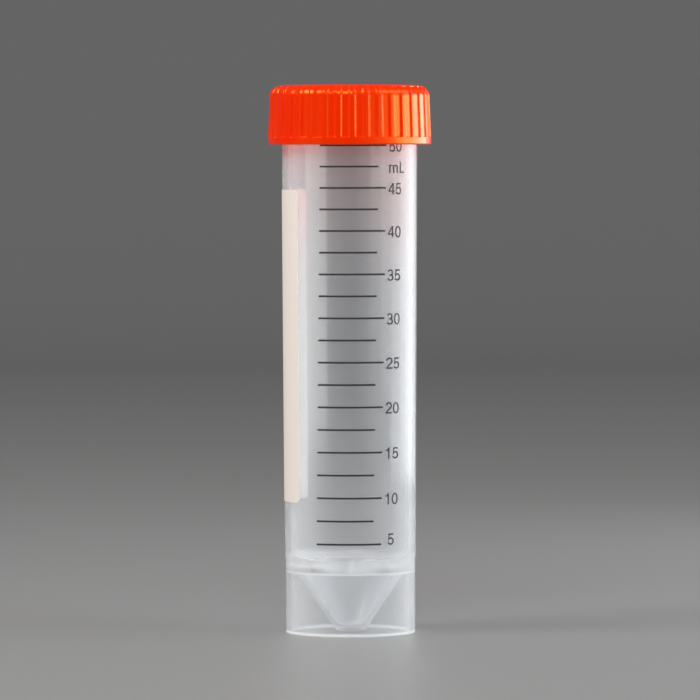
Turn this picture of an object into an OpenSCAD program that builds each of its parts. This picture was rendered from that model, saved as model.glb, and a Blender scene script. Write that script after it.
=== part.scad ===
// Self-standing 50 ml conical tube with a ribbed screw cap.
// Millimetres, +Z up. The origin is on the tube's axis, in the plane that its foot stands in.
// -Y is the front, where the scale is printed. Angles round the tube count from the front,
// positive towards +X.

/* [Tube wall] */
// Height of the tube from its foot to its rim
tube_h = 114.2; // [105:0.1:120]
// Outer diameter at the rim
rim_d = 28.8; // [28.2:0.05:30]
// Outer diameter at the heel, where the tapered wall meets the straight skirt
heel_d = 27.74; // [27.5:0.02:28.2]
// Thickness of the wall at the rim
rim_wall_t = 0.93; // [0.8:0.01:1.2]
// Thickness of the wall at the heel
heel_wall_t = 1.13; // [0.95:0.01:1.4]
// Thickness of the cone's wall
cone_t = 1.1; // [0.8:0.05:1.6]
// Radius inside, where the wall turns into the cone
shoulder_round = 2.5; // [0.5:0.1:5]
// Radius of small edges, such as the rim's
edge_round = 0.3; // [0.1:0.05:0.35]

/* [Cone and foot] */
// Outer diameter of the skirt
skirt_d = 27.49; // [26.6:0.01:27.6]
// Height of the skirt
skirt_h = 16.2; // [14:0.1:20]
// Thickness of the skirt
skirt_t = 1; // [0.8:0.05:1.4]
// Height of the solid ring that joins the skirt, the cone and the wall
ring_h = 3.1; // [2:0.1:5]
// Diameter of the flat tip of the cone
tip_d = 6.5; // [5:0.1:9]
// Height of the tip above the surface that the tube stands on
tip_gap = 0.6; // [0.3:0.1:2]
// Thickness of the floor at the tip
floor_t = 1.1; // [0.8:0.1:2]
// Radius inside, where the cone turns into its floor
floor_round = 1.6; // [0.5:0.1:2.5]

/* [Screw thread] */
// Rise of the thread in one turn
thread_pitch = 4; // [3.4:0.1:4.6]
// Turns of thread on the neck
neck_turns = 1.5; // [1:0.05:1.7]
// Turns of thread in the cap
cap_turns = 1.1; // [0.8:0.05:1.4]
// How far the thread stands out from the neck
neck_thread_depth = 0.7; // [0.4:0.05:1]
// How far the thread stands out from the cap's bore
cap_thread_depth = 0.45; // [0.3:0.05:0.8]
// Width of a thread at its foot
thread_root_w = 1.7; // [1.2:0.1:1.8]
// Width of a thread at its crest
thread_crest_w = 0.8; // [0.5:0.1:1]
// Drop from the rim to the highest middle of the neck's thread
thread_drop = 2.6; // [2:0.1:3.5]
// Gap between the neck's crest and the cap's crest
thread_clearance = 0.3; // [0.2:0.05:0.5]

/* [Cap] */
// Height of the cap
cap_h = 12.6; // [11.6:0.1:15]
// Thickness of the cap's top
cap_top_t = 1.8; // [1.2:0.1:2.5]
// Thickness of the cap's side at the crowns of its ribs, just under the rounded edge
cap_side_t = 1.08; // [1:0.02:1.8]
// How much wider in radius the side gets down to its lower edge
cap_flare = 0.38; // [0:0.01:0.5]
// Radius of the rounded top edge
cap_edge_round = 2.5; // [1:0.1:2.8]
// Height of the plain band under the ribs
band_h = 1.5; // [0.8:0.05:3]
// Number of grooves between the ribs
groove_count = 36; // [24:1:48]
// Width of a groove at the crowns
groove_w = 2; // [1.5:0.05:2.1]
// Width of a groove's flat floor
groove_floor_w = 1.25; // [0.8:0.05:1.4]
// Depth of a groove
groove_depth = 0.35; // [0.2:0.05:0.6]
// Angle from the front to the middle of the first groove
groove_angle = 7; // [0:0.5:10]
// Length of the ring that plugs the tube's mouth
plug_h = 2.8; // [1.5:0.1:4]
// Thickness of the plug ring
plug_t = 0.8; // [0.6:0.05:1.2]
// Gap between the plug ring and the tube's bore
plug_clearance = 0.3; // [0.2:0.05:0.5]

/* [Print] */
// Volume at the lowest line, in millilitres
low_ml = 5; // [5:5:10]
// Volume at the highest line, in millilitres
high_ml = 50; // [45:5:50]
// Volume from one line to the next, in millilitres
step_ml = 2.5; // [2.5, 5]
// Height of the lowest line over the heel
low_line_rise = 3.3; // [1.5:0.1:5]
// Volume from one long line to the next, in millilitres
long_every_ml = 5; // [5, 10]
// Turn of the long lines round the tube
long_turn = 58; // [50:0.5:66]
// Turn of the lines between them
short_turn = 50.5; // [40:0.5:58]
// Height of a line
line_w = 0.38; // [0.25:0.01:0.6]
// Angle of the left end of the highest line
line_angle = -25.5; // [-40:0.5:-15]
// Turn of the scale to the left, from its highest line to its lowest
print_lean = 5; // [0:0.5:6]
// Height of the writing patch's lower edge over the heel
patch_rise = 11.8; // [5:0.1:30]
// Drop from the cap to the writing patch's upper edge
patch_drop = 9.5; // [3:0.1:30]
// Width of the writing patch round the tube
patch_w = 21; // [12:0.1:26]
// Angle of the writing patch's edge nearest the scale
patch_angle = -50.5; // [-65:0.5:-45]
// Thickness of the printed ink
ink_t = 0.08; // [0.05:0.01:0.2]
// Gap between the wall and the ink, so that their faces never coincide
ink_gap = 0.02; // [0.01:0.01:0.05]

/* [Hidden] */
$fn = 96;

front = -90;           // the front's angle in the XY plane
round_steps = 6;       // facets of a rounded corner
thread_steps = 40;     // facets of one turn of thread
thread_sink = 0.3;     // how deep a thread's foot is set into its wall
thread_fade = 25;      // angle over which a thread's ends run out
ml = 1000;             // cubic millimetres in a millilitre

// Radius of the tapered wall at a height, outside and inside
taper = (rim_d - heel_d) / 2 / (tube_h - skirt_h);
bore_taper = taper - (rim_wall_t - heel_wall_t) / (tube_h - skirt_h);
function wall_r(z) = heel_d / 2 + (z - skirt_h) * taper;
function bore_r(z) = heel_d / 2 - heel_wall_t + (z - skirt_h) * bore_taper;

// The cone's outside runs from the tip's edge to the heel, and its inside lies cone_t within
cone_slope = (heel_d / 2 - tip_d / 2) / (skirt_h - tip_gap);
cone_inset = cone_t * sqrt(1 + cone_slope * cone_slope);
function cone_r(z) = tip_d / 2 + (z - tip_gap) * cone_slope;
function cone_bore_r(z) = cone_r(z) - cone_inset;
floor_z = tip_gap + floor_t;
roof_z = skirt_h - ring_h;
shoulder_z = skirt_h
    + (bore_r(skirt_h) - cone_bore_r(skirt_h)) / (cone_slope - bore_taper);

// The cap seats on the rim, and its bore clears the neck's thread
cap_top_z = tube_h + cap_top_t;
cap_low_z = cap_top_z - cap_h;
neck_crest_r = rim_d / 2 + neck_thread_depth;
cap_crest_r = neck_crest_r + thread_clearance;
cap_bore_r = cap_crest_r + cap_thread_depth;
cap_side_r = cap_bore_r + cap_side_t;
cap_low_r = cap_side_r + cap_flare;
cap_side_high_z = cap_top_z - cap_edge_round;
cap_lean = atan(cap_flare / (cap_side_high_z - cap_low_z));
band_z = cap_low_z + band_h;
groove_floor_r = cap_low_r - band_h * tan(cap_lean) - groove_depth;
plug_low_z = tube_h - plug_h;
plug_r = bore_r(plug_low_z) - plug_clearance;

// Both threads start at this height. The cap's starts at the back, so it runs half a pitch
// under the neck's, which starts at the front.
thread_z = tube_h - thread_drop - neck_turns * thread_pitch;

// Where a volume's line lies above the lowest one, from the bore's own taper
low_line_z = skirt_h + low_line_rise;
low_line_bore_r = bore_r(low_line_z);
function line_z(volume) = let (above = (volume - low_ml) * ml)
    low_line_z + (pow(pow(low_line_bore_r, 3) + 3 * bore_taper * above / PI, 1 / 3)
        - low_line_bore_r) / bore_taper;
function lean_at(z) = print_lean * (line_z(high_ml) - z) / (line_z(high_ml) - low_line_z);
patch_low_z = skirt_h + patch_rise;
patch_high_z = cap_low_z - patch_drop;
patch_turn = patch_w / wall_r((patch_low_z + patch_high_z) / 2) * 180 / PI;

// A closed outline of [x, y, radius] corners, each rounded by an arc that its two sides touch
function rounded(corners) = [for (i = [0 : len(corners) - 1]) each
    corner_arc(corners[(i + len(corners) - 1) % len(corners)], corners[i],
        corners[(i + 1) % len(corners)])];
function unit(v) = v / norm(v);
function corner_arc(before, at, after) = at.z == 0 ? [[at.x, at.y]] :
    let (back = unit([before.x - at.x, before.y - at.y]),
        on = unit([after.x - at.x, after.y - at.y]),
        half = acos(back * on) / 2,
        middle = [at.x, at.y] + unit(back + on) * at.z / sin(half),
        first = [at.x, at.y] + back * at.z / tan(half) - middle,
        turn = (cross(back, on) < 0 ? 1 : -1) * (180 - 2 * half))
    [for (i = [0 : round_steps]) let (a = atan2(first.y, first.x) + turn * i / round_steps)
        middle + at.z * [cos(a), sin(a)]];

// A helical ridge on a wall of radius root_r, rising from start_z at angle start_a from the front.
// Its crest lies outside the wall, or inside it where the crest's radius is the smaller.
module thread_ridge(root_r, crest_r, start_z, start_a, turns) {
    outward = crest_r > root_r;
    foot_r = root_r + (outward ? -thread_sink : thread_sink);
    last = ceil(turns * thread_steps);
    function fade(a) = min(1, a / thread_fade, (turns * 360 - a) / thread_fade);
    function section(top_r, z) = [
        [foot_r, z - thread_root_w / 2], [top_r, z - thread_crest_w / 2],
        [top_r, z + thread_crest_w / 2], [foot_r, z + thread_root_w / 2]];
    points = [for (i = [0 : last]) let (a = turns * 360 * i / last)
        each [for (p = section(root_r + (crest_r - root_r) * fade(a),
                start_z + thread_pitch * a / 360))
            [p.x * cos(front + start_a + a), p.x * sin(front + start_a + a), p.y]]];
    sides = [for (i = [0 : last - 1], j = [0 : 3]) let (a = 4 * i + j, b = 4 * i + (j + 1) % 4)
        each [[a, b + 4, a + 4], [a, b, b + 4]]];
    end = 4 * last;
    faces = concat(sides,
        [[0, 2, 1], [0, 3, 2], [end, end + 1, end + 2], [end, end + 2, end + 3]]);
    polyhedron(points, outward ? faces : [for (f = faces) [f[2], f[1], f[0]]]);
}

// One moulding: threaded neck, tapered wall, cone, and the skirt that it stands on
module tube() {
    section = rounded([
        [0, tip_gap, 0],
        [tip_d / 2, tip_gap, edge_round],
        [cone_r(roof_z), roof_z, edge_round],
        [skirt_d / 2 - skirt_t, roof_z, edge_round],
        [skirt_d / 2 - skirt_t, 0, 0],
        [skirt_d / 2, 0, 0],
        [skirt_d / 2, skirt_h, 0],
        [wall_r(skirt_h), skirt_h, 0],
        [wall_r(tube_h), tube_h, edge_round],
        [bore_r(tube_h), tube_h, edge_round],
        [bore_r(shoulder_z), shoulder_z, shoulder_round],
        [cone_bore_r(floor_z), floor_z, floor_round],
        [0, floor_z, 0]
    ]);
    color([0.88, 0.90, 0.92, 0.6]) union() {
        rotate_extrude() polygon(section);
        thread_ridge(wall_r(thread_z), neck_crest_r, thread_z, 0, neck_turns);
    }
}

// Cuts one groove, from its flat floor out to as far beyond the crowns as the groove is deep
module groove_cutter() {
    floor_half_w = groove_floor_w / 2;
    outer_half_w = groove_w - floor_half_w;
    linear_extrude(cap_h)
        polygon([[0, -floor_half_w], [2 * groove_depth, -outer_half_w],
            [2 * groove_depth, outer_half_w], [0, floor_half_w]]);
}

// One moulding: ribbed side, top, plug ring and inner thread
module screw_cap() {
    section = rounded([
        [cap_bore_r, cap_low_z, edge_round],
        [cap_low_r, cap_low_z, edge_round],
        [cap_side_r, cap_side_high_z, 0],
        [cap_side_r, cap_top_z, cap_edge_round],
        [0, cap_top_z, 0],
        [0, tube_h, 0],
        [plug_r - plug_t, tube_h, 0],
        [plug_r - plug_t, plug_low_z, edge_round],
        [plug_r, plug_low_z, edge_round],
        [plug_r, tube_h, 0],
        [cap_bore_r, tube_h, 0]
    ]);
    color([0.98, 0.20, 0.02]) union() {
        difference() {
            rotate_extrude() polygon(section);
            for (i = [0 : groove_count - 1])
                rotate(front + groove_angle + i * 360 / groove_count)
                    translate([groove_floor_r, 0, band_z])
                        rotate([0, -cap_lean, 0]) groove_cutter();
        }
        thread_ridge(cap_bore_r, cap_crest_r, thread_z, 180, cap_turns);
    }
}

// A field of ink on the wall, from its left end at angle a and from height low to high
module ink(a, turn, low, high) {
    rotate(front + a)
        rotate_extrude(angle = turn)
            polygon([[wall_r(low) + ink_gap, low], [wall_r(low) + ink_gap + ink_t, low],
                [wall_r(high) + ink_gap + ink_t, high], [wall_r(high) + ink_gap, high]]);
}

module scale_lines() {
    color([0.22, 0.22, 0.24])
        for (volume = [low_ml : step_ml : high_ml]) {
            z = line_z(volume);
            if (z + line_w / 2 < thread_z - thread_root_w / 2)
                ink(line_angle - lean_at(z), volume % long_every_ml == 0 ? long_turn : short_turn,
                    z - line_w / 2, z + line_w / 2);
        }
}

module writing_patch() {
    color([0.95, 0.93, 0.91])
        ink(patch_angle - patch_turn, patch_turn, patch_low_z, patch_high_z);
}

tube();
screw_cap();
scale_lines();
writing_patch();
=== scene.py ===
"""A self-standing 50 ml conical tube with a ribbed screw cap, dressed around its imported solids.

Lengths are in metres, with MM for the ones stated in millimetres. Angles round the tube count from
the front, which is -Y, and are positive towards +X.
"""

import math

import bpy
from mathutils import Matrix, Vector
from mathutils.geometry import tessellate_polygon


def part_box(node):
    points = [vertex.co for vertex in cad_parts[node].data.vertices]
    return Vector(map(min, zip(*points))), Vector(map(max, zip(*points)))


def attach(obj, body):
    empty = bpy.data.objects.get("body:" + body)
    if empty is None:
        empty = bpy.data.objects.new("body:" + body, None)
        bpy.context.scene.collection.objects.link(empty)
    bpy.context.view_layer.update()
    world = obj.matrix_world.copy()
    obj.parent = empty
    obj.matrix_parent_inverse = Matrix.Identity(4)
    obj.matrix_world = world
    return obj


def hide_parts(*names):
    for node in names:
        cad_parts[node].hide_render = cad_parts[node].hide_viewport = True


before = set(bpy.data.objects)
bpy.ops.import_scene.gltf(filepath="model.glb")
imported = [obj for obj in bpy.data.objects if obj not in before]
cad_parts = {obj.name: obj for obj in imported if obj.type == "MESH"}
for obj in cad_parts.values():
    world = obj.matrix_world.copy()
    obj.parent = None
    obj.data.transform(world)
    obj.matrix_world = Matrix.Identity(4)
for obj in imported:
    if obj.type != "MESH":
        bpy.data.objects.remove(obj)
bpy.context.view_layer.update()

MM = 0.001
ALMOST = 0.999
ON_AXIS = 1e-7
SAME_R = 0.01 * MM

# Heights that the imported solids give
FOOT_Z, RIM_Z = (corner.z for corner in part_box("tube"))
CAP_LOW_Z, CAP_TOP_Z = (corner.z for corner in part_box("screw_cap"))
PATCH_LOW_Z, PATCH_HIGH_Z = (corner.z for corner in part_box("writing_patch"))

# The tube: the same sizes as the solids have
RIM_R = 14.4 * MM
HEEL_R = 13.87 * MM
HEEL_Z = FOOT_Z + 16.2 * MM
RIM_WALL_T = 0.93 * MM
HEEL_WALL_T = 1.13 * MM
CONE_T = 1.1 * MM
SKIRT_R = 13.745 * MM
SKIRT_T = 1.0 * MM
ROOF_Z = HEEL_Z - 3.1 * MM
TIP_R = 3.25 * MM
TIP_Z = FOOT_Z + 0.6 * MM
FLOOR_Z = TIP_Z + 1.1 * MM
SHOULDER_ROUND = 2.5 * MM
FLOOR_ROUND = 1.6 * MM
EDGE_ROUND = 0.3 * MM
FOOT_ROUND = 0.2 * MM

# The thread, on the neck and in the cap
PITCH = 4.0 * MM
NECK_TURNS = 1.5
CAP_TURNS = 1.1
NECK_RIDGE = 0.7 * MM
CAP_RIDGE = 0.45 * MM
RIDGE_FOOT_W = 1.7 * MM
RIDGE_CREST_W = 0.8 * MM
THREAD_Z = RIM_Z - 2.6 * MM - NECK_TURNS * PITCH
THREAD_FADE = 25 / 360

# The cap
CAP_BORE_R = RIM_R + NECK_RIDGE + 0.3 * MM + CAP_RIDGE
CAP_SIDE_R = CAP_BORE_R + 1.08 * MM
CAP_LOW_R = CAP_SIDE_R + 0.38 * MM
CAP_ROUND = 2.5 * MM
BAND_Z = CAP_LOW_Z + 1.5 * MM
PLUG_T = 0.8 * MM
PLUG_CLEARANCE = 0.3 * MM
PLUG_Z = RIM_Z - 2.8 * MM
GROOVES = 36
GROOVE_ANGLE = 7.0
GROOVE_W = 2.0 * MM
GROOVE_FLOOR_W = 1.25 * MM
GROOVE_DEPTH = 0.35 * MM
GROOVE_EASE = 0.08 * MM
GROOVE_END_H = 0.14 * MM
GROOVE_RUN_OUT = 0.6 * MM
GROOVE_RUN_OUT_POWER = 0.7
GROOVE_TOP_GAP = 0.02 * MM

# The longest steps of the mesh along the neck, the cap's bore and the cap's side
NECK_STEP = 0.2 * MM
BORE_STEP = 0.36 * MM
SIDE_STEP = 1.5 * MM

# The print
INK_GAP = 0.02 * MM
INK_T = 0.06 * MM
PATCH_ROUND = 1.0 * MM

FRONT = math.radians(-90)
TAPER = (RIM_R - HEEL_R) / (RIM_Z - HEEL_Z)
BORE_TAPER = TAPER + (HEEL_WALL_T - RIM_WALL_T) / (RIM_Z - HEEL_Z)
CAP_FLARE = (CAP_LOW_R - CAP_SIDE_R) / (CAP_TOP_Z - CAP_ROUND - CAP_LOW_Z)


def wall_r(z):
    """Radius of the tapered wall's outside at a height."""
    return HEEL_R + (z - HEEL_Z) * TAPER


def bore_r(z):
    """Radius of the tapered wall's inside at a height."""
    return HEEL_R - HEEL_WALL_T + (z - HEEL_Z) * BORE_TAPER


def polar(r, angle, z):
    """A point at a radius and an angle in radians from the front."""
    return Vector((r * math.cos(FRONT + angle), r * math.sin(FRONT + angle), z))


# --- outlines ------------------------------------------------------------------------------

def rounded(corners, steps=8):
    """An open outline of (r, z, radius) corners, each rounded by an arc that its sides touch."""
    points = []
    for i, (r, z, radius) in enumerate(corners):
        at = Vector((r, z))
        if not radius:
            points.append(at)
            continue
        back = (Vector(corners[i - 1][:2]) - at).normalized()
        on = (Vector(corners[i + 1][:2]) - at).normalized()
        half = math.acos(max(-1, min(1, back.dot(on)))) / 2
        middle = at + (back + on).normalized() * radius / math.sin(half)
        first = at + back * radius / math.tan(half) - middle
        turn = math.pi - 2 * half
        if back.x * on.y - back.y * on.x > 0:
            turn = -turn
        for k in range(steps + 1):
            a = turn * k / steps
            points.append(middle + Matrix.Rotation(a, 2) @ first)
    return points


def guarded(points, guard=0.12 * MM, fine=None):
    """The outline with a row close to each end of its long stretches, so that smooth shading
    stays flat along them. fine(a, b) may give the longest step that a stretch is cut into."""
    out = [points[0]]
    for a, b in zip(points, points[1:]):
        length = (b - a).length
        step = fine(a, b) if fine else None
        if step:
            count = math.ceil(length / step)
            cuts = [k / count for k in range(1, count)]
        elif length > 4 * guard:
            cuts = [guard / length, 1 - guard / length]
        else:
            cuts = []
        out += [a.lerp(b, t) for t in cuts] + [b]
    return out


def revolve(name, outline, angles, radius_at=lambda r, z, a: r):
    """A closed skin of revolution. The outline starts and ends on the axis; radius_at may move
    a point in or out by its radius, height and angle."""
    verts, rings = [], []
    for p in outline:
        if p.x < ON_AXIS:
            rings.append([len(verts)] * len(angles))
            verts.append(Vector((0, 0, p.y)))
        else:
            rings.append(range(len(verts), len(verts) + len(angles)))
            verts += [polar(radius_at(p.x, p.y, a), a, p.y) for a in angles]
    faces = []
    for low, high in zip(rings, rings[1:]):
        for i in range(len(angles)):
            k = (i + 1) % len(angles)
            corners = [low[i], low[k], high[k], high[i]]
            faces.append([c for n, c in enumerate(corners) if c != corners[n - 1]])
    return piece(name, verts, faces)


def piece(name, verts, faces, sharp=40):
    """A mesh object with smooth shading that breaks at edges sharper than an angle."""
    mesh = bpy.data.meshes.new(name)
    mesh.from_pydata(verts, [], faces)
    mesh.validate()
    mesh.shade_smooth()
    mesh.set_sharp_from_angle(angle=math.radians(sharp))
    made = bpy.data.objects.new(name, mesh)
    bpy.context.scene.collection.objects.link(made)
    return made


def ridge(z, angle, turns, start_angle):
    """How far a thread's ridge stands out at a height and an angle, from 0 to 1."""
    first = ((angle - start_angle) / math.tau) % 1
    best = 0
    for turn in range(math.ceil(turns) + 1):
        along = first + turn
        if along > turns:
            break
        off = abs(z - THREAD_Z - along * PITCH)
        t = (RIDGE_FOOT_W / 2 - off) / ((RIDGE_FOOT_W - RIDGE_CREST_W) / 2)
        t = max(0, min(1, t))
        ends = min(1, along / THREAD_FADE, (turns - along) / THREAD_FADE)
        best = max(best, t * t * (3 - 2 * t) * ends)
    return best


def eased(x, soft):
    """x where it is positive and 0 elsewhere, with the bend spread over soft on either side."""
    return max(x, 0) if abs(x) >= soft else (x + soft) ** 2 / (4 * soft)


def groove_depth(across):
    """Depth of a groove at a distance from its middle: a flat floor between sloping sides."""
    run = (GROOVE_W - GROOVE_FLOOR_W) / 2
    inside = GROOVE_W / 2 - abs(across)
    return GROOVE_DEPTH / run * (eased(inside, GROOVE_EASE) - eased(inside - run, GROOVE_EASE))


# --- pieces --------------------------------------------------------------------------------

def make_tube():
    """The tube's one moulding: foot, ring, cone, wall, threaded neck and rim."""
    slope = (HEEL_R - TIP_R) / (HEEL_Z - TIP_Z)
    inset = CONE_T * math.hypot(1, slope)

    def cone_r(z):
        return TIP_R + (z - TIP_Z) * slope

    shoulder_z = HEEL_Z + (bore_r(HEEL_Z) - cone_r(HEEL_Z) + inset) / (slope - BORE_TAPER)
    neck_low = THREAD_Z - RIDGE_FOOT_W
    neck_high = THREAD_Z + NECK_TURNS * PITCH + RIDGE_FOOT_W
    outline = rounded([
        (0, TIP_Z, 0),
        (TIP_R, TIP_Z, EDGE_ROUND),
        (cone_r(ROOF_Z), ROOF_Z, EDGE_ROUND),
        (SKIRT_R - SKIRT_T, ROOF_Z, EDGE_ROUND),
        (SKIRT_R - SKIRT_T, FOOT_Z, FOOT_ROUND),
        (SKIRT_R, FOOT_Z, FOOT_ROUND),
        (SKIRT_R, HEEL_Z, 0),
        (wall_r(HEEL_Z), HEEL_Z, 0),
        (wall_r(neck_low), neck_low, 0),
        (wall_r(neck_high), neck_high, 0),
        (RIM_R, RIM_Z, EDGE_ROUND),
        (bore_r(RIM_Z), RIM_Z, EDGE_ROUND),
        (bore_r(shoulder_z), shoulder_z, SHOULDER_ROUND),
        (cone_r(FLOOR_Z) - inset, FLOOR_Z, FLOOR_ROUND),
        (0, FLOOR_Z, 0),
    ])

    def fine(a, b):
        on_neck = min(a.x, b.x) > RIM_R - RIM_WALL_T / 2 and min(a.y, b.y) > neck_low - MM / 10
        return NECK_STEP if on_neck and max(a.y, b.y) < neck_high + MM / 10 else None

    def threaded(r, z, a):
        if r > wall_r(z) - RIM_WALL_T / 2 and neck_low < z < neck_high:
            return r + NECK_RIDGE * ridge(z, a, NECK_TURNS, 0)
        return r

    columns = 256
    made = revolve("tube_moulding", guarded(outline, fine=fine),
                   [math.tau * i / columns for i in range(columns)], threaded)
    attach(made, "tube_body")
    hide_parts("tube")
    return made


def make_cap():
    """The cap's one moulding: top, ribbed side, plain band, inner thread and plug ring."""
    plug_r = bore_r(PLUG_Z) - PLUG_CLEARANCE

    def crown_r(z):
        return CAP_LOW_R - (z - CAP_LOW_Z) * CAP_FLARE

    # Rows crowd together at the ledge over the plain band, where the grooves end
    ledge = [BAND_Z + rise * MM for rise in (-0.08, 0, 0.06, 0.14, 0.3)]
    outline = rounded([
        (0, RIM_Z, 0),
        (plug_r - PLUG_T, RIM_Z, EDGE_ROUND),
        (plug_r - PLUG_T, PLUG_Z, EDGE_ROUND),
        (plug_r, PLUG_Z, EDGE_ROUND),
        (plug_r, RIM_Z, 0),
        (CAP_BORE_R, RIM_Z, EDGE_ROUND),
        (CAP_BORE_R, CAP_LOW_Z, EDGE_ROUND),
        (CAP_LOW_R, CAP_LOW_Z, EDGE_ROUND),
        *((crown_r(z), z, 0) for z in ledge),
        (CAP_SIDE_R, CAP_TOP_Z - CAP_ROUND, 0),
        (CAP_SIDE_R, CAP_TOP_Z, CAP_ROUND * ALMOST),
        (0, CAP_TOP_Z, 0),
    ], steps=12)
    period = math.tau / GROOVES

    def fine(a, b):
        on_bore = max(abs(a.x - CAP_BORE_R), abs(b.x - CAP_BORE_R)) < SAME_R
        on_side = min(a.x, b.x) > (CAP_BORE_R + CAP_SIDE_R) / 2 and min(a.y, b.y) > BAND_Z
        return BORE_STEP if on_bore else SIDE_STEP if on_side else None

    def shaped(r, z, a):
        if abs(r - CAP_BORE_R) < SAME_R:
            return r - CAP_RIDGE * ridge(z, a, CAP_TURNS, math.pi)
        if r < CAP_BORE_R or z <= BAND_Z:
            return r
        off = (a - math.radians(GROOVE_ANGLE) + period / 2) % period - period / 2
        below_top = max(0, CAP_TOP_Z - GROOVE_TOP_GAP - z)
        run_out = min(1, (z - BAND_Z) / GROOVE_END_H,
                      (below_top / GROOVE_RUN_OUT) ** GROOVE_RUN_OUT_POWER)
        return r - groove_depth(crown_r(z) * off) * run_out

    # Columns crowd together where a groove's sides bend, with one more on its floor and side
    bends = GROOVE_FLOOR_W / 2, GROOVE_W / 2
    across = [0.31 * MM, *(bend + k * GROOVE_EASE for bend in bends for k in (-1, 0, 1)),
              sum(bends) / 2]
    across = sorted({0, *across, *(-t for t in across)})
    turns = [t / CAP_SIDE_R for t in across] + [period / 2]
    angles = [math.radians(GROOVE_ANGLE) + i * period + turn
              for i in range(GROOVES) for turn in turns]
    made = revolve("cap_moulding", guarded(outline, fine=fine), angles, shaped)
    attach(made, "cap_body")
    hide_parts("screw_cap")
    return made


def ink_field(verts, faces, angles, low_at, high_at):
    """Adds a closed film of ink on the wall. low_at and high_at give its edges at an angle."""
    start = len(verts)
    for a in angles:
        for z, out in ((low_at(a), 0), (high_at(a), 0), (high_at(a), 1), (low_at(a), 1)):
            verts.append(polar(wall_r(z) + INK_GAP + out * INK_T, a, z))
    last = start + 4 * (len(angles) - 1)
    for i in range(start, last, 4):
        for j in range(4):
            k = (j + 1) % 4
            faces.append([i + j, i + k, i + 4 + k, i + 4 + j])
    faces.append([start + 3, start + 2, start + 1, start])
    faces.append([last, last + 1, last + 2, last + 3])


def spread(first, last, step=math.radians(1)):
    """Angles from first to last, at most a step apart."""
    count = math.ceil((last - first) / step)
    return [first + (last - first) * i / count for i in range(count + 1)]


def angle_of(v):
    """A point's angle from the front, from -180 to 180 degrees."""
    return (math.atan2(v.y, v.x) - FRONT + math.pi) % math.tau - math.pi


def scale_fields():
    """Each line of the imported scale, lowest first: low and high edge, left and right end."""
    corners = sorted((v.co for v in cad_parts["scale_lines"].data.vertices),
                     key=lambda co: co.z)
    lines = [[corners[0]]]
    for co in corners[1:]:
        if co.z - lines[-1][-1].z > MM:
            lines.append([])
        lines[-1].append(co)
    return [(line[0].z, line[-1].z, min(map(angle_of, line)), max(map(angle_of, line)))
            for line in lines]


def make_scale_lines():
    """The scale's lines, as thin films that follow the wall."""
    verts, faces = [], []
    for low, high, left, right in scale_fields():
        ink_field(verts, faces, spread(left, right), lambda a: low, lambda a: high)
    made = piece("scale_ink_lines", verts, faces)
    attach(made, "tube_body")
    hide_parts("scale_lines")
    return made


def make_patch():
    """The writing patch: a field of ink with rounded corners."""
    corners = [v.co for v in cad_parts["writing_patch"].data.vertices]
    left, right = min(map(angle_of, corners)), max(map(angle_of, corners))
    turn = PATCH_ROUND / wall_r((PATCH_LOW_Z + PATCH_HIGH_Z) / 2)
    angles = [left + turn * (1 - math.cos(math.radians(t))) for t in range(0, 90, 15)]
    angles += spread(left + turn, right - turn)
    angles += [right - turn * (1 - math.cos(math.radians(t))) for t in range(75, -1, -15)]

    def inset(a):
        near = max(0, 1 - min(a - left, right - a) / turn)
        return PATCH_ROUND * (1 - math.sqrt(max(0, 1 - near ** 2)))

    verts, faces = [], []
    ink_field(verts, faces, angles, lambda a: PATCH_LOW_Z + inset(a),
              lambda a: PATCH_HIGH_Z - inset(a))
    made = piece("writing_patch_ink", verts, faces)
    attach(made, "tube_body")
    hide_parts("writing_patch")
    return made


# --- numbers -------------------------------------------------------------------------------

# A digit's height, and its other sizes as shares of that
DIGIT_H = 2.37 * MM
DIGIT_STEP = 0.8
DIGIT_GAP = 0.11
M_STEP = 1.17
STROKE = 0.125

# The long lines have numbers. Each is centred a turn past its line's right end, and a little
# off the line's height
LONG_SHARE = 0.95
LABEL_ML = 5
NUMBER_TURN = math.radians(9.9)
LABEL_RISE = -0.2 * MM
FIRST_LABEL_RISE = 1.0 * MM
UNIT_START = math.radians(3.5)


def arc(x, y, rx, ry, first, last, steps=8):
    """Points of an elliptical arc between two angles in degrees."""
    turns = [math.radians(first + (last - first) * k / steps) for k in range(steps + 1)]
    return [Vector((x + rx * math.cos(t), y + ry * math.sin(t))) for t in turns]


def stroked(path, width=STROKE):
    """The outline of one pen stroke of even width along a path, with mitred corners."""
    sides = [[], []]
    for i, at in enumerate(path):
        before = (at - path[i - 1]).normalized() if i else None
        after = (path[i + 1] - at).normalized() if i < len(path) - 1 else None
        back, on = before or after, after or before
        normal = Vector((-(back + on).y, (back + on).x)).normalized()
        reach = width / 2 / max(0.45, normal.dot(Vector((-on.y, on.x))))
        sides[0].append(at + normal * reach)
        sides[1].append(at - normal * reach)
    return sides[0] + sides[1][::-1]


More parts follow.
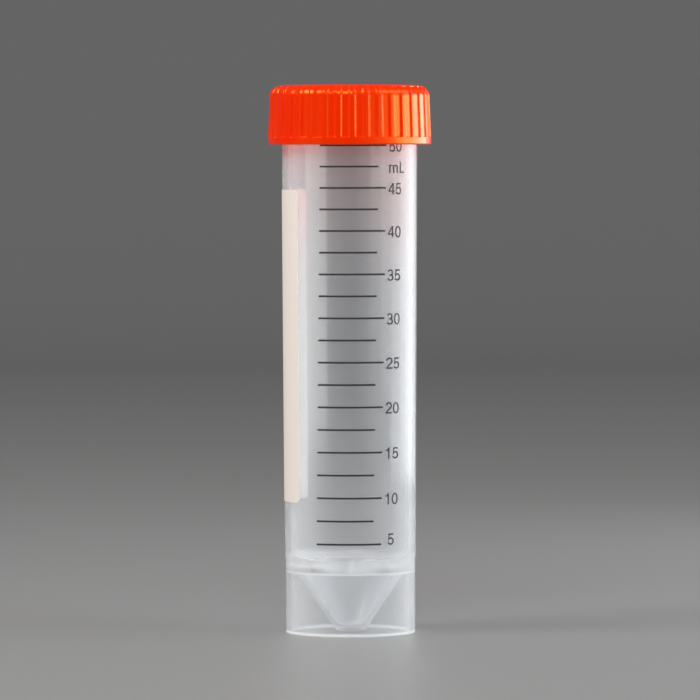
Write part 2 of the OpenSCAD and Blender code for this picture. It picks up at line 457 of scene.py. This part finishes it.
def glyph(letter):
    """A plain letter's outlines, one unit tall: its outside, and any hole in it."""
    t = STROKE
    v = Vector
    if letter == "0":
        return [arc(0.345, 0.5, 0.345, 0.51, 0, 345, 23),
                arc(0.345, 0.5, 0.345 - t, 0.51 - t * 0.85, 345, 0, 23)]
    if letter == "1":
        return [[v((0.08, 0.70)), v((0.08, 0.79))] + arc(0.12, 1.01, 0.22, 0.21, -75, -10, 4)
                + [v((0.345, 1)), v((0.345 + t, 1)), v((0.345 + t, 0)), v((0.345, 0)),
                   v((0.345, 0.70))]]
    if letter == "2":
        bowl = arc(0.345, 0.70, 0.275, 0.25, 175, -30, 12)
        return [stroked(bowl + [v((0.46, 0.46)), v((0.26, 0.30)), v((0.11, 0.17)),
                                v((0.075, t / 2)), v((0.68, t / 2))])]
    if letter == "3":
        outer = arc(0.33, 0.735, 0.285, 0.275, 165, -35, 12) \
            + arc(0.33, 0.28, 0.335, 0.29, 48, -165, 14)
        inner = arc(0.33, 0.28, 0.335 - t, 0.29 - t * 0.85, -165, 75, 12) \
            + [v((0.24, 0.463)), v((0.24, 0.563))] \
            + arc(0.33, 0.735, 0.285 - t, 0.275 - t * 0.85, -75, 165, 12)
        return [outer + inner]
    if letter == "4":
        return [[v((0.43, 0)), v((0.43, 0.235)), v((0.01, 0.235)), v((0.01, 0.35)),
                 v((0.44, 1)), v((0.43 + t, 1)), v((0.43 + t, 0.345)), v((0.69, 0.345)),
                 v((0.69, 0.235)), v((0.43 + t, 0.235)), v((0.43 + t, 0))],
                [v((0.43, 0.345)), v((0.43, 0.80)), v((0.125, 0.345))]]
    if letter == "5":
        return [stroked([v((0.63, 1 - t / 2)), v((0.175, 1 - t / 2)), v((0.115, 0.47))]
                        + arc(0.34, 0.325, 0.28, 0.275, 140, -160, 16))]
    if letter == "m":
        first = arc(0.275, 0.52, 0.22, 0.22, 180, 35, 6)
        second = arc(0.71, 0.52, 0.275, 0.22, 145, 0, 6)
        inner = [arc(x, 0.50, 0.16, 0.135, 0, 180, 6) for x in (0.71, 0.275)]
        return [[v((0, 0)), v((0, 0.72)), v((t, 0.72)), v((t, 0.66))] + first[2:] + second
                + [v((0.985, 0)), v((0.87, 0))] + inner[0]
                + [v((0.55, 0)), v((0.435, 0))] + inner[1] + [v((0.115, 0))]]
    if letter == "L":
        return [[v((0.08, 0)), v((0.08, 1)), v((0.08 + t, 1)), v((0.08 + t, t)),
                 v((0.64, t)), v((0.64, 0))]]
    raise ValueError(letter)


def add_label(verts, faces, text, start, middle_z):
    """Wraps a text round the wall, its left edge at an angle and centred on a height."""
    left = 0
    for letter in text:
        loops = glyph(letter)
        flat = [p for loop in loops for p in loop]
        base, count = len(verts), len(flat)
        for out in (INK_GAP, INK_GAP + INK_T):
            for p in flat:
                z = middle_z + (p.y - 0.5) * DIGIT_H
                turn = (left + p.x) * DIGIT_H / wall_r(z)
                verts.append(polar(wall_r(z) + out, start + turn, z))
        for tri in tessellate_polygon([[(p.x, p.y, 0) for p in loop] for loop in loops]):
            a, b, c = (flat[i] for i in tri)
            order = tri if (b - a).x * (c - a).y > (b - a).y * (c - a).x else tri[::-1]
            faces.append([base + count + i for i in order])
            faces.append([base + i for i in reversed(order)])
        first = base
        for loop in loops:
            area = sum(p.x * q.y - p.y * q.x for p, q in zip(loop, loop[1:] + loop[:1]))
            turned = (area > 0) == (loop is loops[0])
            for i in range(len(loop)):
                a, b = first + i, first + (i + 1) % len(loop)
                side = [a, b, b + count, a + count]
                faces.append(side if turned else side[::-1])
            first += len(loop)
        left += M_STEP if letter == "m" else DIGIT_STEP


def make_numbers():
    """The scale's numbers beside the long lines, and its unit."""
    fields = scale_fields()
    longest = max(right - left for _, _, left, right in fields)
    verts, faces = [], []
    value = 0
    for low, high, left, right in fields:
        if right - left < LONG_SHARE * longest:
            continue
        value += LABEL_ML
        text = str(value)
        wide = (DIGIT_STEP * len(text) - DIGIT_GAP) * DIGIT_H / wall_r(low)
        rise = FIRST_LABEL_RISE if value == LABEL_ML else LABEL_RISE
        add_label(verts, faces, text, right + NUMBER_TURN - wide / 2, (low + high) / 2 + rise)
    # The unit stands beside the short line under the top one, past the long line below that
    low, high, _, _ = fields[-2]
    add_label(verts, faces, "mL", fields[-3][3] + UNIT_START, (low + high) / 2 + LABEL_RISE)
    made = piece("scale_numbers", verts, faces)
    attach(made, "tube_body")
    return made


# --- materials -----------------------------------------------------------------------------

def new_material(name):
    """A material, its node tree and its Principled shader."""
    made = bpy.data.materials.new(name)
    made.use_nodes = True
    return made, made.node_tree, made.node_tree.nodes["Principled BSDF"]


def maths(tree, operation):
    made = tree.nodes.new("ShaderNodeMath")
    made.operation = operation
    return made


def noise(tree, scale, detail=2, stretch=(1, 1, 1)):
    """Noise over the object's own coordinates, in metres, stretched along its axes."""
    place = tree.nodes.new("ShaderNodeTexCoord")
    mapping = tree.nodes.new("ShaderNodeMapping")
    mapping.inputs["Scale"].default_value = stretch
    made = tree.nodes.new("ShaderNodeTexNoise")
    made.inputs["Scale"].default_value = scale
    made.inputs["Detail"].default_value = detail
    tree.links.new(place.outputs["Object"], mapping.inputs["Vector"])
    tree.links.new(mapping.outputs["Vector"], made.inputs["Vector"])
    return made.outputs["Fac"]


def ranged(tree, value, low, high):
    """A value from 0 to 1, spread over low to high."""
    made = tree.nodes.new("ShaderNodeMapRange")
    made.inputs["To Min"].default_value = low
    made.inputs["To Max"].default_value = high
    tree.links.new(value, made.inputs["Value"])
    return made.outputs["Result"]


def blended(tree, value, first, second):
    """A colour between two, by a value from 0 to 1."""
    made = tree.nodes.new("ShaderNodeMix")
    made.data_type = "RGBA"
    made.inputs[6].default_value = (*first, 1)
    made.inputs[7].default_value = (*second, 1)
    tree.links.new(value, made.inputs[0])
    return made.outputs[2]


def bumped(tree, shader, height, strength, distance):
    """Roughens the shader's surface by a height, up to a distance in metres."""
    made = tree.nodes.new("ShaderNodeBump")
    made.inputs["Strength"].default_value = strength
    made.inputs["Distance"].default_value = distance
    tree.links.new(height, made.inputs["Height"])
    tree.links.new(made.outputs["Normal"], shader.inputs["Normal"])


def tube_plastic():
    """Natural polypropylene: milky, and clear enough to see the far wall through."""
    made, tree, shader = new_material("tube_plastic")
    shader.inputs["IOR"].default_value = 1.49
    haze = noise(tree, 90, 3, (1, 1, 0.25))
    edge = tree.nodes.new("ShaderNodeLayerWeight")
    edge.inputs["Blend"].default_value = 0.3
    clear = maths(tree, "MULTIPLY")
    tree.links.new(ranged(tree, edge.outputs["Facing"], 0.94, 0.35), clear.inputs[0])
    # Transmission is also cut by height: a painted glow at the foot's edge and in the solid ring
    tree.links.new(clearness(tree), clear.inputs[1])
    tree.links.new(clear.outputs[0], shader.inputs["Transmission Weight"])
    tree.links.new(ranged(tree, haze, 0.07, 0.11), shader.inputs["Roughness"])
    tree.links.new(blended(tree, haze, (0.92, 0.935, 0.95), (0.95, 0.96, 0.97)),
                   shader.inputs["Base Color"])
    bumped(tree, shader, noise(tree, 260, 2, (1, 1, 0.3)), 0.05, 0.02 * MM)
    return lit_through(made, tree, shader, (0.86, 0.865, 0.87))


def clearness(tree):
    """How clear the plastic is made by height: milkier, and so whiter, in the solid ring and at
    the foot's edge.
    This is a painted glow that stands in for light running along the wall and coming out there."""
    place = tree.nodes.new("ShaderNodeTexCoord")
    split = tree.nodes.new("ShaderNodeSeparateXYZ")
    tree.links.new(place.outputs["Object"], split.inputs[0])
    top = 20 * MM
    height = maths(tree, "DIVIDE")
    height.inputs[1].default_value = top
    tree.links.new(split.outputs["Z"], height.inputs[0])
    ramp = tree.nodes.new("ShaderNodeValToRGB")
    stops = ramp.color_ramp.elements
    # Clearness by height in mm: the low levels at the foot's edge and in the solid ring are
    # painted glow
    levels = ((0.3, 0.45), (0.8, 1.0), (12.8, 1.0), (13.1, 0.65), (13.5, 0.85), (16.0, 0.85),
              (17.5, 1.0))
    for k, (z, level) in enumerate(levels):
        stop = stops[k] if k < 2 else stops.new(z * MM / top)
        stop.position = z * MM / top
        stop.color = (level, level, level, 1)
    tree.links.new(height.outputs[0], ramp.inputs[0])
    return ramp.outputs["Color"]


def lit_through(made, tree, shader, colour):
    """Lets lamps light what is behind the material: its shadow is a clear tint."""
    clear = tree.nodes.new("ShaderNodeBsdfTransparent")
    clear.inputs["Color"].default_value = (*colour, 1)
    path = tree.nodes.new("ShaderNodeLightPath")
    mix = tree.nodes.new("ShaderNodeMixShader")
    tree.links.new(path.outputs["Is Shadow Ray"], mix.inputs[0])
    tree.links.new(shader.outputs[0], mix.inputs[1])
    tree.links.new(clear.outputs[0], mix.inputs[2])
    tree.links.new(mix.outputs[0], tree.nodes["Material Output"].inputs["Surface"])
    return made


def cap_plastic():
    """Orange polyethylene with the faint unevenness of a moulding."""
    made, tree, shader = new_material("cap_plastic")
    clouds = noise(tree, 140, 3)
    tree.links.new(blended(tree, clouds, (0.96, 0.018, 0.0001), (0.99, 0.026, 0.0002)),
                   shader.inputs["Base Color"])
    tree.links.new(ranged(tree, noise(tree, 900, 2), 0.18, 0.22), shader.inputs["Roughness"])
    shader.inputs["Specular Tint"].default_value = (1, 0.92, 0.1, 1)
    shader.inputs["Specular IOR Level"].default_value = 0.6
    bumped(tree, shader, noise(tree, 1400, 2), 0.025, 0.02 * MM)
    return lit_through(made, tree, shader, (0.92, 0.27, 0.06))


def scale_ink():
    """Black ink, a little uneven as a screen lays it."""
    made, tree, shader = new_material("scale_ink")
    grain = noise(tree, 3500, 3)
    tree.links.new(blended(tree, grain, (0.012, 0.012, 0.016), (0.045, 0.045, 0.052)),
                   shader.inputs["Base Color"])
    tree.links.new(ranged(tree, grain, 0.4, 0.6), shader.inputs["Roughness"])
    bumped(tree, shader, grain, 0.1, 0.01 * MM)
    return made


def patch_ink():
    """White ink, dull and slightly grainy so that it takes a pen."""
    made, tree, shader = new_material("patch_ink")
    grain = noise(tree, 2600, 4)
    tree.links.new(blended(tree, noise(tree, 60, 2), (0.95, 0.85, 0.78), (0.97, 0.88, 0.81)),
                   shader.inputs["Base Color"])
    tree.links.new(ranged(tree, grain, 0.5, 0.7), shader.inputs["Roughness"])
    bumped(tree, shader, grain, 0.2, 0.015 * MM)
    return made


def plain_ground():
    """The pale floor and backdrop."""
    made, tree, shader = new_material("plain_ground")
    shader.inputs["Base Color"].default_value = (0.32, 0.32, 0.32, 1)
    shader.inputs["Roughness"].default_value = 0.45
    return made


# --- stage ---------------------------------------------------------------------------------

LAMP_AIM = Vector((0, 0, 0.06))


def make_ground():
    """A round floor that sweeps up into a backdrop all round, outside every view's camera."""
    flat, radius, top, steps, columns = 1.5, 0.6, 1.1, 12, 96
    outline = [Vector((0, FOOT_Z)), Vector((flat, FOOT_Z))]
    for k in range(1, steps + 1):
        a = math.radians(90 * k / steps)
        outline.append(Vector((flat + radius * math.sin(a),
                               FOOT_Z + radius * (1 - math.cos(a)))))
    outline.append(Vector((flat + radius, FOOT_Z + top)))
    made = revolve("ground", outline[::-1], [math.tau * i / columns for i in range(columns)])
    made.data.materials.append(plain_ground())
    return made


def area_light(name, azimuth, distance, height, size, radiance, colour=(1, 1, 1)):
    """A lamp at an angle from the front, aimed at the tube, as bright everywhere as stated."""
    data = bpy.data.lights.new(name, "AREA")
    data.shape = "RECTANGLE"
    data.size, data.size_y = size
    data.energy = radiance * math.pi * size[0] * size[1]
    data.color = colour
    lamp = bpy.data.objects.new(name, data)
    lamp.location = polar(distance, math.radians(azimuth), height)
    aim = LAMP_AIM - lamp.location
    lamp.rotation_euler = aim.to_track_quat("-Z", "Y").to_euler()
    lamp.visible_camera = False
    bpy.context.scene.collection.objects.link(lamp)
    return lamp


def limit(lamp, made, state):
    """Limits what a lamp lights: with INCLUDE to this object, with EXCLUDE to all but it."""
    group = bpy.data.collections.new(f"{lamp.name}_limit")
    group.objects.link(made)
    group.collection_objects[0].light_linking.link_state = state
    lamp.light_linking.receiver_collection = group


def make_lights(ground, cap):
    """Warm lamps on the left, a white one in front and cool ones on the right, where low
    strips make the wall's reflection grow towards its edge. The left panel stands too close
    to the floor to light it, and the cap's gloss on the right has a lamp of its own."""
    warm, cool = (1, 0.96, 0.92), (0.95, 0.975, 1)
    area_light("left_high", -68, 0.75, 0.7, (0.5, 0.4), 7.6, warm)
    left_panel = area_light("left_panel", -61, 0.6, 0.056, (0.45, 0.1), 1.9, warm)
    limit(left_panel, ground, "EXCLUDE")
    area_light("front_high", -10, 0.9, 0.75, (0.5, 0.4), 5.3)
    area_light("right_high", 65, 0.75, 0.7, (0.5, 0.4), 3.0, cool)
    area_light("right_upper", 95, 0.5, 0.37, (0.35, 0.22), 1.6, cool)
    cap_side = area_light("cap_side", 103, 0.44, 0.1, (0.6, 0.19), 3.4, (1, 0.98, 0.95))
    limit(cap_side, cap, "INCLUDE")
    for azimuth, radiance in ((25, 0.3), (45, 0.8), (65, 1.6)):
        area_light(f"right_strip_{azimuth}", azimuth, 0.8, 0.155, (0.28, 0.3), radiance, cool)
    for azimuth, radiance in ((85, 2.3), (105, 2.8), (125, 2.8), (145, 0.9)):
        area_light(f"right_strip_{azimuth}", azimuth, 0.42, 0.1, (0.148, 0.19), radiance, cool)

    # What the object mirrors overhead is as grey as the backdrop
    world = bpy.data.worlds.new("studio")
    world.use_nodes = True
    tree = world.node_tree
    tree.nodes["Background"].inputs["Color"].default_value = (1, 1, 1, 1)
    path = tree.nodes.new("ShaderNodeLightPath")
    seen = maths(tree, "MAXIMUM")
    tree.links.new(path.outputs["Is Camera Ray"], seen.inputs[0])
    tree.links.new(path.outputs["Is Glossy Ray"], seen.inputs[1])
    tree.links.new(ranged(tree, seen.outputs[0], 0.45, 0.13),
                   tree.nodes["Background"].inputs["Strength"])
    bpy.context.scene.world = world


def make_camera():
    """Level with the cap's lower edge, looking a little down on the tube's middle."""
    distance, eye, aim = 1.207, 0.1025, 0.0599
    data = bpy.data.cameras.new("camera")
    data.sensor_width = 36
    data.lens = 293.1
    data.clip_start, data.clip_end = 0.05, 10
    camera = bpy.data.objects.new("camera", data)
    camera.location = (0, -distance, eye)
    look = Vector((0, distance, aim - eye))
    turned = look.to_track_quat("-Z", "Y").to_matrix().to_4x4()
    roll = Matrix.Rotation(math.radians(-0.13), 4, "Z")
    camera.rotation_euler = (turned @ roll).to_euler()
    bpy.context.scene.collection.objects.link(camera)
    bpy.context.scene.camera = camera


def dress(made, material):
    """Gives a piece its one material."""
    made.data.materials.clear()
    made.data.materials.append(material)


black = scale_ink()
for made, material in ((make_tube(), tube_plastic()), (make_cap(), cap_plastic()),
                       (make_scale_lines(), black), (make_numbers(), black),
                       (make_patch(), patch_ink())):
    dress(made, material)

make_lights(make_ground(), bpy.data.objects["cap_moulding"])
make_camera()
bpy.context.scene.view_settings.view_transform = "Standard"
